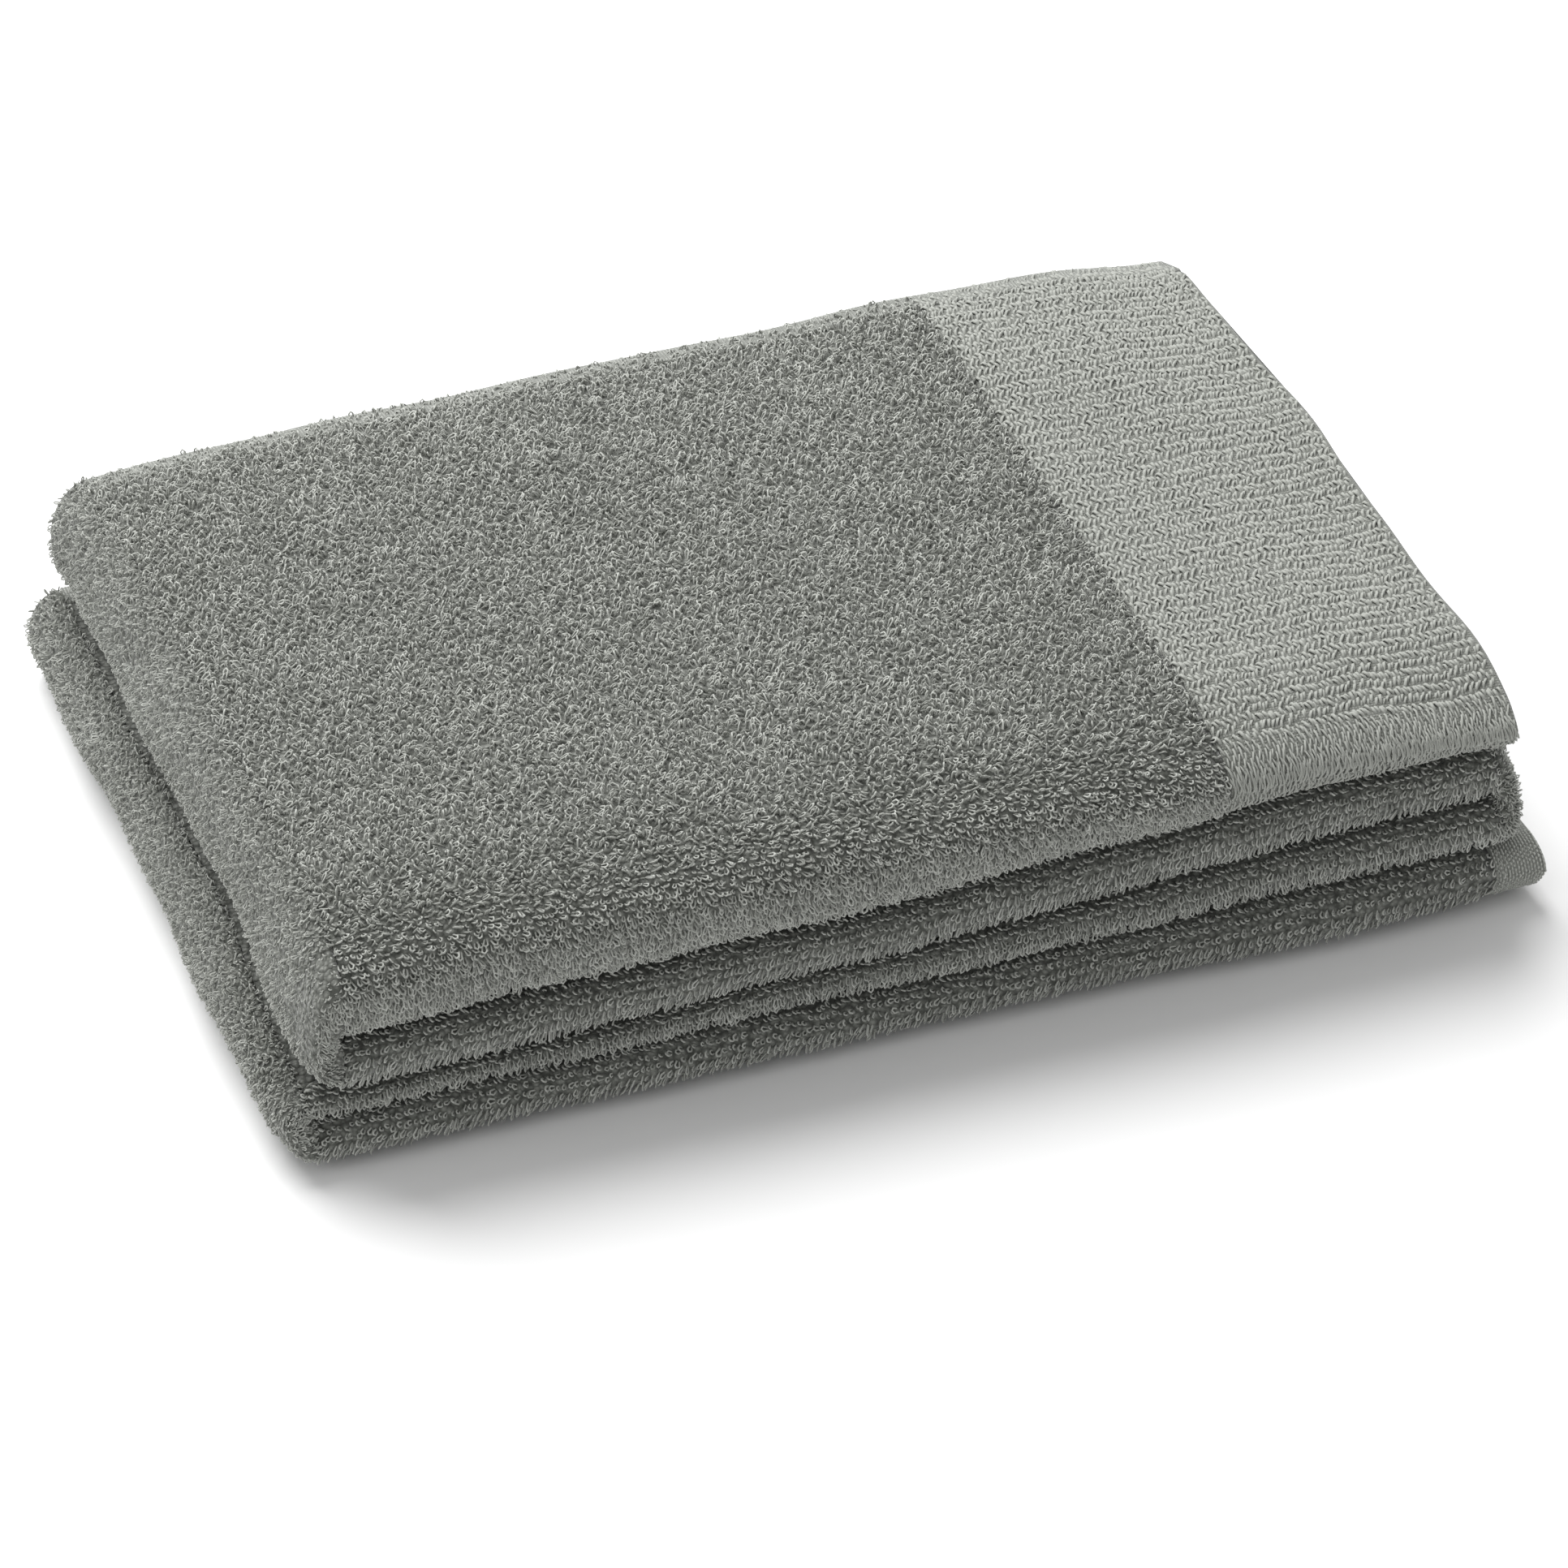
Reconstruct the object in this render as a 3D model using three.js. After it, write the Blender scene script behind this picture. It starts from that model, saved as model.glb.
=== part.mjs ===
// A terry bath towel, folded lengthwise in three and then crosswise in four.
//
// The towel is one woven cloth. It is first folded lengthwise like a letter, which makes a strip
// three plies thick with a round front roll, a fold at the back and both side hems. That strip is then
// folded to and fro like an accordion into four panels that lie on each other. Each stretch of cloth
// that can move on its own is a solid, and each change of weave is a solid.
//
// Units are millimetres. +X runs along the front edge towards the hemmed ends, +Y to the back, +Z up.
// The origin is on the table under the centre of the folded stack.
import * as THREE from 'three';

// Driving dimensions of the folded stack: a quarter of a 1400 towel's length and, with the rolls,
// just over a third of its 700 width.
const LENGTH = 350;
const DEPTH = 241;
const GAP = 0.3; // air between solids that touch

// Height of each panel's underside, and its thickness, from the table up. Each is three plies of terry,
// and only the top one has nothing pressing on its loft.
const BOTTOM = { z: 0, thick: 14.7 };
const LOWER_MIDDLE = { z: 15, thick: 14.7 };
const UPPER_MIDDLE = { z: 30, thick: 14.7 };
const TOP = { z: 45, thick: 25 };

// The two upper panels lie a little in from the ends of the bottom one.
const TOP_END = 170;
const HEM_END = LENGTH / 2;

// The crosswise folds: where the inside of the turn is, and how far the turn stands out past it.
// The lower left turn ends the stack at the left, as the end hem does at the right.
const CREASE = 165;
const LOWER_LEFT = { creaseX: -CREASE, reach: LENGTH / 2 - CREASE - GAP / 2 };
const RIGHT = { creaseX: CREASE, reach: 7 };
const UPPER_LEFT = { creaseX: -156, reach: 11 };
const TURN_STEPS = 14;

// The weaves along the strip.
const BAND_WIDTH = 85;
const END_HEM_WIDTH = 14;
const SIDE_HEM_WIDTH = 9;

// The letter fold's section. Heights in it are shares of the panel's thickness.
const PLY_SHARE = 0.31;
const AIR_SHARE = (1 - 3 * PLY_SHARE) / 2;
const ROLL_REACH = 10; // how far the front roll stands out past the flat plies
const BACK_REACH = 5;
const PLY = 4.6; // thickness of one ply of terry, where it rolls over
const TUCK_ROOM = 3; // between the tucked side hem and the inside of the front roll
const ARC_STEPS = 8;

const FRONT = -DEPTH / 2;
const BACK = DEPTH / 2;
const ROLL_CENTRE = FRONT + ROLL_REACH;
const TUCKED_EDGE = ROLL_CENTRE + TUCK_ROOM;

// Sage-grey cotton in three weaves: looped terry, the dobby band and the plain-woven hems.
const TERRY = { color: 0x8b8d87, roughness: 0.95, metalness: 0 };
const DOBBY = { color: 0xa1a39d, roughness: 0.85, metalness: 0 };
const PLAIN = { color: 0x8f918b, roughness: 0.85, metalness: 0 };

// Points [y, share] on a half ellipse about (y, share), from one angle to the other.
function halfRound(y, share, reachY, reachShare, from, to) {
  return Array.from({ length: ARC_STEPS + 1 }, (_, i) => {
    const angle = from + ((to - from) * i) / ARC_STEPS;
    return [y + reachY * Math.cos(angle), share + reachShare * Math.sin(angle)];
  });
}

// The outline of the letter fold, as points [y, share of the thickness]. Share 1 is the face of the
// outer ply. The cloth runs from the outer ply's back edge, round the front roll, along the lowest
// ply and round the back fold to the tucked ply, which ends inside the front roll.
function letterFold(outerEdge, tuckedEdge) {
  const lowTwo = 2 * PLY_SHARE + AIR_SHARE;
  const right = Math.PI / 2;
  return [
    [outerEdge, 1],
    ...halfRound(ROLL_CENTRE, 0.5, ROLL_REACH, 0.5, right, 3 * right),
    ...halfRound(BACK - BACK_REACH, lowTwo / 2, BACK_REACH, lowTwo / 2, -right, right),
    [tuckedEdge, lowTwo],
    [tuckedEdge, PLY_SHARE + AIR_SHARE],
    [BACK - BACK_REACH, PLY_SHARE + AIR_SHARE],
    [BACK - BACK_REACH, PLY_SHARE],
    ...halfRound(ROLL_CENTRE, 0.5, ROLL_REACH - PLY, 0.5 - PLY_SHARE, 3 * right, right),
    [outerEdge, 1 - PLY_SHARE],
  ];
}

// The same outline with room for the separate side hem strips, and whole for the turns.
const PANEL_FOLD = letterFold(BACK - SIDE_HEM_WIDTH - GAP, TUCKED_EDGE + SIDE_HEM_WIDTH + GAP);
const TURN_FOLD = letterFold(BACK, TUCKED_EDGE);

// A closed solid skinned over a row of loops of points, with flat ends. The end faces have to be
// wound against each other, and the other way round when the loops run clockwise.
function skin(loops) {
  const size = loops[0].length;
  const flat = loops[0].map((p) => new THREE.Vector2(p.y, p.z));
  const cap = THREE.ShapeUtils.triangulateShape(flat, []);
  const reversed = THREE.ShapeUtils.isClockWise(flat);
  const last = (loops.length - 1) * size;
  const faces = [];
  cap.forEach(([a, b, c]) => {
    const near = reversed ? [a, b, c] : [a, c, b];
    const far = reversed ? [a, c, b] : [a, b, c];
    faces.push(...near, ...far.map((corner) => corner + last));
  });
  for (let i = 0; i < loops.length - 1; i += 1) {
    for (let j = 0; j < size; j += 1) {
      const next = (j + 1) % size;
      const [a, b, c, d] = [i * size + j, i * size + next, (i + 1) * size + next, (i + 1) * size + j];
      faces.push(a, b, c, a, c, d);
    }
  }
  return outward(solidOf(loops.flat(), faces));
}

function solidOf(points, faces) {
  const geometry = new THREE.BufferGeometry();
  geometry.setFromPoints(points);
  geometry.setIndex(faces);
  return geometry;
}

// Turns every face round when the solid comes out inside out.
function outward(geometry) {
  const at = geometry.getAttribute('position');
  const index = geometry.index.array;
  const [a, b, c] = [new THREE.Vector3(), new THREE.Vector3(), new THREE.Vector3()];
  let volume = 0;
  for (let i = 0; i < index.length; i += 3) {
    a.fromBufferAttribute(at, index[i]);
    b.fromBufferAttribute(at, index[i + 1]);
    c.fromBufferAttribute(at, index[i + 2]);
    volume += a.dot(b.cross(c));
  }
  if (volume < 0) {
    for (let i = 0; i < index.length; i += 3) [index[i], index[i + 1]] = [index[i + 1], index[i]];
  }
  return geometry;
}

// A straight stretch of the folded strip. outerUp says which way its outer ply faces.
function stretch(panel, fromX, toX, outerUp) {
  const loop = (x) =>
    PANEL_FOLD.map(([y, share]) => {
      const height = outerUp ? share : 1 - share;
      return new THREE.Vector3(x, y, panel.z + height * panel.thick);
    });
  return skin([loop(fromX), loop(toX)]);
}

// A side hem: a flat strip along the outer ply's back edge, or along the tucked ply's front edge.
function sideHem(panel, fromX, toX, outerUp, tucked) {
  const share = tucked ? PLY_SHARE + AIR_SHARE : 1 - PLY_SHARE;
  const middle = share + PLY_SHARE / 2;
  const height = panel.thick * PLY_SHARE;
  const strip = new THREE.BoxGeometry(toX - fromX, SIDE_HEM_WIDTH, height);
  const y = tucked ? TUCKED_EDGE + SIDE_HEM_WIDTH / 2 : BACK - SIDE_HEM_WIDTH / 2;
  const z = panel.z + (outerUp ? middle : 1 - middle) * panel.thick;
  strip.translate((fromX + toX) / 2, y, z);
  return strip;
}

// A crosswise fold: the strip carried half a turn round its crease, from the lower panel to the upper.
// side is -1 for a turn at the left and 1 at the right; outerOutside says if the outer ply is outermost.
function turn(fold, lower, upper, side, outerOutside) {
  const creaseZ = upper.z - GAP / 2;
  const loops = [];
  for (let i = 0; i <= TURN_STEPS; i += 1) {
    const angle = -Math.PI / 2 + (Math.PI * i) / TURN_STEPS;
    const thick = angle < 0 ? lower.thick : upper.thick;
    loops.push(
      TURN_FOLD.map(([y, share]) => {
        const out = outerOutside ? share : 1 - share;
        const acrossX = GAP / 2 + out * fold.reach;
        const acrossZ = GAP / 2 + out * thick;
        const x = fold.creaseX + side * acrossX * Math.cos(angle);
        return new THREE.Vector3(x, y, creaseZ + acrossZ * Math.sin(angle));
      }),
    );
  }
  return skin(loops);
}

const towel = new THREE.Group();

function add(name, geometry, weave) {
  const mesh = new THREE.Mesh(geometry, new THREE.MeshStandardMaterial(weave));
  mesh.name = name;
  towel.add(mesh);
}

// The bottom panel lies on the table with its outer ply down, and ends in the plain-woven end hem.
function addBottomPanel() {
  const from = LOWER_LEFT.creaseX + GAP;
  const hemFrom = HEM_END - END_HEM_WIDTH;
  add('bottom_panel_terry', stretch(BOTTOM, from, hemFrom - GAP, false), TERRY);
  add('bottom_panel_end_hem', stretch(BOTTOM, hemFrom, HEM_END, false), PLAIN);
  addSideHems('bottom_panel', BOTTOM, from, HEM_END, false);
}

function addSideHems(name, panel, fromX, toX, outerUp) {
  add(`${name}_side_hem`, sideHem(panel, fromX, toX, outerUp, false), PLAIN);
  add(`${name}_tucked_side_hem`, sideHem(panel, fromX, toX, outerUp, true), PLAIN);
}

// The two middle panels are terry from turn to turn.
function addMiddlePanels() {
  const toX = RIGHT.creaseX - GAP;
  const lowerFrom = LOWER_LEFT.creaseX + GAP;
  const upperFrom = UPPER_LEFT.creaseX + GAP;
  add('lower_middle_panel_terry', stretch(LOWER_MIDDLE, lowerFrom, toX, true), TERRY);
  addSideHems('lower_middle_panel', LOWER_MIDDLE, lowerFrom, toX, true);
  add('upper_middle_panel_terry', stretch(UPPER_MIDDLE, upperFrom, toX, false), TERRY);
  addSideHems('upper_middle_panel', UPPER_MIDDLE, upperFrom, toX, false);
}

// The top panel is terry up to the wide dobby band, which runs to the towel's other end.
function addTopPanel() {
  const from = UPPER_LEFT.creaseX + GAP;
  const bandFrom = TOP_END - BAND_WIDTH;
  add('top_panel_terry', stretch(TOP, from, bandFrom - GAP, true), TERRY);
  add('top_panel_dobby_band', stretch(TOP, bandFrom, TOP_END, true), DOBBY);
  addSideHems('top_panel', TOP, from, TOP_END, true);
}

// The three turns of the accordion. The outer ply is on the outside of both left turns.
function addTurns() {
  add('lower_left_fold', turn(LOWER_LEFT, BOTTOM, LOWER_MIDDLE, -1, true), TERRY);
  add('right_fold', turn(RIGHT, LOWER_MIDDLE, UPPER_MIDDLE, 1, false), TERRY);
  add('upper_left_fold', turn(UPPER_LEFT, UPPER_MIDDLE, TOP, -1, true), TERRY);
}

addBottomPanel();
addMiddlePanels();
addTopPanel();
addTurns();

export default towel;
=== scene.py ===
# %% [markdown]
# # A folded terry bath towel
# The real thing is one woven cloth of 70 by 140 cm. It is folded lengthwise in three, like a letter,
# and then crosswise in four, to and fro like an accordion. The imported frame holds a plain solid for
# each stretch of cloth. This script puts real cloth, pile, weave and hems in the place of each one.

# %% Load the frame
import math

import bmesh
import bpy
import mathutils
import numpy as np
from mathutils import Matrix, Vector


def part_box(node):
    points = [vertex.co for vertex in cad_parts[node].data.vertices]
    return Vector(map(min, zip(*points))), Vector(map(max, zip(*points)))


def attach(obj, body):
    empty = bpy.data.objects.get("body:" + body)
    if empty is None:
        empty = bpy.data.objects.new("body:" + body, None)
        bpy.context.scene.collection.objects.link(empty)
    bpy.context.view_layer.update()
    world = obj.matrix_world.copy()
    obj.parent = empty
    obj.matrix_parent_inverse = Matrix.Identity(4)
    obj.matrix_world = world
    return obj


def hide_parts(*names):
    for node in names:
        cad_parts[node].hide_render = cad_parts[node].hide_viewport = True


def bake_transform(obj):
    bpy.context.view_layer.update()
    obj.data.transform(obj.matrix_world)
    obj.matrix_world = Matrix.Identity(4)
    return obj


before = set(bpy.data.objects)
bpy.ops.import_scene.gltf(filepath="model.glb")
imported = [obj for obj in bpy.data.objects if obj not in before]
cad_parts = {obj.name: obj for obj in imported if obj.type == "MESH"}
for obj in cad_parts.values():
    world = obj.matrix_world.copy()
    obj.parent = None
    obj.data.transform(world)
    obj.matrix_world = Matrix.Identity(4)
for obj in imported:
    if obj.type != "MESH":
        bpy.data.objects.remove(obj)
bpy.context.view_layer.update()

# %% [markdown]
# ## Two small helpers
# A dyer names colours in sRGB, and the renderer works in linear light, so one function turns the
# one into the other. A second function adds any node to any tree, with its settings and its links.
# A socket is named by its label or, where several share one label, by its number.

# %% Colour and node helpers
def linear(hex_colour):
    channels = [int(hex_colour[i:i + 2], 16) / 255 for i in (0, 2, 4)]
    return [c / 12.92 if c <= 0.04045 else ((c + 0.055) / 1.055) ** 2.4 for c in channels] + [1.0]


def put(tree, kind, inputs=None, **settings):
    node = tree.nodes.new(kind)
    for key, value in settings.items():
        setattr(node, key, value)
    for key, value in (inputs or {}).items():
        in_use = [s for s in node.inputs if s.enabled and key in (s.name, s.identifier)]
        socket = node.inputs[key] if isinstance(key, int) else in_use[0]
        if isinstance(value, bpy.types.NodeSocket):
            tree.links.new(value, socket)
        else:
            socket.default_value = value
    return node


def out(node, name=None):
    return [s for s in node.outputs if s.enabled and name in (None, s.name)][0]


print("sage in linear light:", [round(c, 3) for c in linear("8b8d87")])

# %% [markdown]
# ## Camera, floor and light
# The towel lies on a pale seamless floor. A long lens a good two metres away keeps its edges almost
# parallel. One very large soft light hangs above and behind, so the top is bright, the front rolls
# fall into shade, and the shadow in front has no edge. A weak light from the left opens the left
# ends, and a small white card, low in front, opens the rolls.

# %% Camera, floor and light
LENS = 186.3
CAMERA_DISTANCE = 2.209
CAMERA_SIDE, CAMERA_HEIGHT = math.radians(19.96), math.radians(36.45)
CAMERA_TARGET = (0.0051, 0.0, -0.0022)
FLOOR_DROP = 0.0012  # the lowest loops hang this far under the frame
ROOM_LIGHT = 0.52


def look_at(obj, target):
    direction = np.array(target) - np.array(obj.location)
    obj.rotation_euler = mathutils.Vector(direction).to_track_quat("-Z", "Y").to_euler()


camera = bpy.data.objects.new("camera", bpy.data.cameras.new("camera"))
bpy.context.scene.collection.objects.link(camera)
flat_reach = CAMERA_DISTANCE * math.cos(CAMERA_HEIGHT)
camera.location = (CAMERA_TARGET[0] - flat_reach * math.sin(CAMERA_SIDE),
                   CAMERA_TARGET[1] - flat_reach * math.cos(CAMERA_SIDE),
                   CAMERA_TARGET[2] + CAMERA_DISTANCE * math.sin(CAMERA_HEIGHT))
look_at(camera, CAMERA_TARGET)
camera.data.lens, camera.data.sensor_width = LENS, 36
camera.data.clip_start, camera.data.clip_end = 0.05, 50
bpy.context.scene.camera = camera


def soft_light(name, place, width, power):
    light = bpy.data.objects.new(name, bpy.data.lights.new(name, "AREA"))
    bpy.context.scene.collection.objects.link(light)
    light.location = place
    light.data.shape, light.data.size, light.data.energy = "DISK", width, power
    look_at(light, (0, 0, 0.03))
    return light


soft_light("softbox_above_and_behind", (-0.3, 1.4, 1.85), 2.4, 94)
soft_light("left_fill", (-1.9, -0.2, 0.7), 1.2, 6)
soft_light("low_white_card", (-0.3, -1.5, 0.16), 0.3, 1.4)

world = bpy.data.worlds.new("studio")
bpy.context.scene.world = world
world.use_nodes = True
world.node_tree.nodes["Background"].inputs["Color"].default_value = (1, 1, 1, 1)
world.node_tree.nodes["Background"].inputs["Strength"].default_value = ROOM_LIGHT
bpy.context.scene.view_settings.view_transform = "Standard"

floor_mesh = bpy.data.meshes.new("floor")
floor_mesh.from_pydata([(-6, -6, 0), (6, -6, 0), (6, 6, 0), (-6, 6, 0)], [], [(0, 1, 2, 3)])
floor = bpy.data.objects.new("floor", floor_mesh)
bpy.context.scene.collection.objects.link(floor)
floor.location.z = -FLOOR_DROP
floor_paper = bpy.data.materials.new("seamless_paper")
floor_paper.use_nodes = True
floor_paper.node_tree.nodes["Principled BSDF"].inputs["Base Color"].default_value = linear("f2f2f2")
floor_paper.node_tree.nodes["Principled BSDF"].inputs["Roughness"].default_value = 0.8
floor.data.materials.append(floor_paper)
print("camera at", [round(c, 3) for c in camera.location])

# %% [markdown]
# ## Cotton materials
# Everything is ring-spun cotton, dyed in the piece, so it is all one sage grey. What differs is how
# the light falls into the weave. The pile is real geometry, so its yarn only needs a plain, matt,
# slightly sheeny shader, in three near shades. The ground cloth under it is darker, because the
# light hardly reaches between the loops. The hems are flat, so their threads are drawn by the shader
# from a thread spacing in millimetres.

# %% Pile yarn
LOOP_SPACING = 1.6
DYE = {"light": "b4b6b0", "middle": "aaaca6", "deep": "9ea09a"}


def cotton(name, colour, roughness=0.92, sheen=0.25):
    material = bpy.data.materials.new(name)
    material.use_nodes = True
    shader = material.node_tree.nodes["Principled BSDF"]
    shader.inputs["Base Color"].default_value = linear(colour)
    shader.inputs["Roughness"].default_value = roughness
    shader.inputs["Specular IOR Level"].default_value = 0.2
    shader.inputs["Sheen Weight"].default_value = sheen
    shader.inputs["Sheen Roughness"].default_value = 0.5
    return material


pile_yarn = {shade: cotton("pile_yarn_" + shade, colour) for shade, colour in DYE.items()}
band_yarn = cotton("mercerised_band_yarn", "9ea09a", 0.8, 0.2)
hem_thread = cotton("hem_thread", "b2b4ae", 0.85, 0.15)

# %% [markdown]
# The ground cloth shows in the gaps of the pile, and on the faces that only show when the towel is
# There the loops are drawn in relief instead: cells of the size of a loop, domed by a bump,
# with painted shade darkest at each cell's rim, in the gaps between loops.

# %% Terry ground cloth
LOOP_BEND = 0.0012
BEND_SCALE = 420.0
GROUND_MIDDLE, GROUND_HIGH, GROUND_GAP_SHADE = "8c8e88", "90928c", "51534e"
GROUND_RELIEF = 0.0014


def terry_ground():
    material = cotton("terry_ground_cloth", GROUND_MIDDLE)
    tree = material.node_tree
    shader = tree.nodes["Principled BSDF"]
    place = put(tree, "ShaderNodeTexCoord")
    wobble = put(tree, "ShaderNodeTexNoise",
                 {"Vector": out(place, "Object"), "Scale": BEND_SCALE, "Detail": 2.0})
    bent = put(tree, "ShaderNodeVectorMath",
               {0: out(wobble, "Color"), 1: (LOOP_BEND, LOOP_BEND, LOOP_BEND), 2: out(place, "Object")},
               operation="MULTIPLY_ADD")
    loops = put(tree, "ShaderNodeTexVoronoi", {"Vector": out(bent), "Scale": 1000 / LOOP_SPACING},
                feature="F1")
    # Painted shade: each loop cell is lighter in its middle and darkest at its rim, in the gaps.
    tone = put(tree, "ShaderNodeValToRGB", {"Fac": out(loops, "Distance")})
    tone.color_ramp.elements[0].color = linear(GROUND_HIGH)
    tone.color_ramp.elements[1].color = linear(GROUND_GAP_SHADE)
    tone.color_ramp.elements[1].position = 0.75
    bump = put(tree, "ShaderNodeBump",
               {"Height": out(loops, "Distance"), "Strength": 0.9, "Distance": GROUND_RELIEF}, invert=True)
    tree.links.new(out(tone, "Color"), shader.inputs["Base Color"])
    tree.links.new(out(bump), shader.inputs["Normal"])
    return material


terry_cloth = terry_ground()

# %% [markdown]
# The plain-woven hems are the flattest cloth on the towel. Two fine waves at right angles, one
# for warp and one for weft, make the dotted look of a plain weave, and the dips between the
# threads take a darker colour as painted shade.

# %% Plain-woven hem cloth
HEM_THREAD_SPACING = 0.9


def plain_weave(name, colour, shade):
    material = cotton(name, colour, 0.85)
    tree = material.node_tree
    shader = tree.nodes["Principled BSDF"]
    place = put(tree, "ShaderNodeTexCoord")
    turns = 2 * math.pi / 20 / (HEM_THREAD_SPACING * 0.001)
    waves = [out(put(tree, "ShaderNodeTexWave", {"Vector": out(place, "Object"), "Scale": turns,
                                                "Distortion": 0.6, "Detail Scale": 1.0},
                     wave_type="BANDS", bands_direction=way, wave_profile="SIN"), "Fac") for way in "XYZ"]
    weft = put(tree, "ShaderNodeMath", {0: waves[1], 1: waves[2]}, operation="ADD")
    dots = put(tree, "ShaderNodeMath", {0: waves[0], 1: out(weft)}, operation="MULTIPLY")
    # Painted shade: the dips between the threads get the darker colour, the raised threads the yarn's own.
    tone = put(tree, "ShaderNodeMix", {"Factor": out(dots), "A": linear(shade), "B": linear(colour)},
               data_type="RGBA")
    bump = put(tree, "ShaderNodeBump", {"Height": out(dots), "Strength": 0.7, "Distance": 0.0004})
    tree.links.new(out(tone), shader.inputs["Base Color"])
    tree.links.new(out(bump), shader.inputs["Normal"])
    return material


hem_cloth = plain_weave("plain_woven_hem_cloth", "a2a49e", "777974")
band_ground = plain_weave("dobby_band_ground_cloth", "868882", "6d6f69")
print("materials:", [m.name for m in bpy.data.materials])

# %% [markdown]
# ## Where the cloth lies
# The frame says where each panel is. These numbers are its heights and ends in millimetres, which is
# what a maker measures cloth in. Everything is worked out in millimetres and turned to metres when
# a mesh is made.

# %% Panel sizes from the frame
MM = 0.001
GAP = 0.3
SIDE_HEM = 9.0


def span(node):
    low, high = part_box(node)
    return np.array(low) / MM, np.array(high) / MM


def panel_of(name, end_node, outer_up, left_turn, right_turn):
    low, high = span(name + "_terry")
    end = span(end_node)[1][0] if end_node else high[0]
    return {"name": name, "z": low[2], "thick": high[2] - low[2], "from": low[0], "to": end,
            "terry_to": high[0], "outer_up": outer_up, "left": left_turn, "right": right_turn}


PANELS = {
    "bottom_panel": panel_of("bottom_panel", "bottom_panel_end_hem", False, "lower_left_fold", None),
    "lower_middle_panel": panel_of("lower_middle_panel", None, True, "lower_left_fold", "right_fold"),
    "upper_middle_panel": panel_of("upper_middle_panel", None, False, "upper_left_fold", "right_fold"),
    "top_panel": panel_of("top_panel", "top_panel_dobby_band", True, "upper_left_fold", None),
}
FRONT, BACK = span("top_panel_terry")[0][1], span("lower_left_fold")[1][1]
for panel in PANELS.values():
    print(panel["name"], "z", round(panel["z"], 1), "thick", round(panel["thick"], 1),
          "x", round(panel["from"], 1), "to", round(panel["to"], 1))

# %% [markdown]
# ## The letter fold
# Across its width the cloth is folded in three. Going along the cloth: the outer ply runs from its
# hemmed edge at the back to the front, rolls over, becomes the lowest ply, folds at the back, and is
# tucked between the other two. The path is a list of points: the distance to the back, the share of
# the panel's thickness, and then which part of the fold the point is on.

# %% The path of the fold
ROLL_REACH = 10.0
BACK_REACH = 5.0
PLY_SHARE = 0.31
AIR_SHARE = (1 - 3 * PLY_SHARE) / 2
LOW_TWO = 2 * PLY_SHARE + AIR_SHARE
PLY = 4.6
ROLL_FULLNESS = 0.93
TUCKED_EDGE = FRONT + ROLL_REACH + 3.0
PILE_ROOT = 1.5


def run(start, end, step):
    count = max(1, round(abs(end[0] - start[0]) / step))
    return [tuple(np.array(start) + (np.array(end) - np.array(start)) * i / count) for i in range(count)]


def half_round(y, share, reach_y, reach_share, first, last, steps):
    angles = np.linspace(first, last, steps + 1)
    return [(y + reach_y * math.cos(a), share + reach_share * math.sin(a)) for a in angles]


def front_roll(steps, inset=0.0, thick=20.0):
    """Half a turn from the top to the bottom, squarer than a circle, because the stack presses on it."""
    angles = np.linspace(math.pi / 2, 3 * math.pi / 2, steps + 1)
    return [(FRONT + ROLL_REACH - (ROLL_REACH - inset) * abs(math.cos(a)) ** ROLL_FULLNESS,
             0.5 + (0.5 - inset / thick) * math.copysign(abs(math.sin(a)) ** ROLL_FULLNESS, math.sin(a)))
            for a in angles]


def back_fold(steps, inset=0.0, thick=20.0):
    return half_round(BACK - BACK_REACH, LOW_TWO / 2, BACK_REACH - inset, LOW_TWO / 2 - inset / thick,
                      -math.pi / 2, math.pi / 2, steps)


def letter_fold(outer_edge, tucked_edge, thick, inset, step=5.0):
    """The closed outline of the folded cloth's section, set in by the depth of the pile's roots."""
    e = inset / thick
    roll, fold = front_roll(16, inset, thick), back_fold(10, inset, thick)
    inner = half_round(FRONT + ROLL_REACH, 0.5, ROLL_REACH - PLY, 0.5 - PLY_SHARE,
                       3 * math.pi / 2, math.pi / 2, 10)
    tuck_low, crook = PLY_SHARE + AIR_SHARE, BACK - BACK_REACH
    tuck_high_point, tuck_low_point = (tucked_edge, LOW_TWO), (tucked_edge, tuck_low)
    return (run((outer_edge, 1 - e), roll[0], step) + roll[:-1]
            + run(roll[-1], fold[0], step) + fold[:-1]
            + run(fold[-1], tuck_high_point, step) + run(tuck_high_point, tuck_low_point, 9)
            + run(tuck_low_point, (crook, tuck_low), step) + [(crook, tuck_low), (crook, PLY_SHARE)]
            + run((crook, PLY_SHARE), inner[0], step)[1:] + inner[:-1]
            + run(inner[-1], (outer_edge, 1 - PLY_SHARE), step) + [(outer_edge, 1 - PLY_SHARE)])


print("points round the fold:", len(letter_fold(BACK - 9.3, TUCKED_EDGE + 9.3, 15, PILE_ROOT)))

# %% [markdown]
# ## How the stack settles
# A folded towel isn't a stack of flat boards. The front rolls sag and bulge, the middle ones are pinched
# and low at the left and rise to the right, the back edge droops, and the whole crowns in the middle.
# All of that is one smooth shift of space, worked out once here in millimetres and used on every
# piece, so neighbours move together and never cut into each other.

# %% The settling of the stack
def smooth(low, high, value):
    t = np.clip((value - low) / (high - low), 0, 1)
    return t * t * (3 - 2 * t)


def between(value, marks, shifts):
    """A shift for each mark, joined by straight lines; the shifts may differ from point to point."""
    total = np.zeros_like(value)
    for i in range(len(marks) - 1):
        inside = (value >= marks[i]) & ((value < marks[i + 1]) | (i == len(marks) - 2))
        t = np.clip((value - marks[i]) / (marks[i + 1] - marks[i]), 0, 1)
        total = np.where(inside, shifts[i] * (1 - t) + shifts[i + 1] * t, total)
    return total


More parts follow.
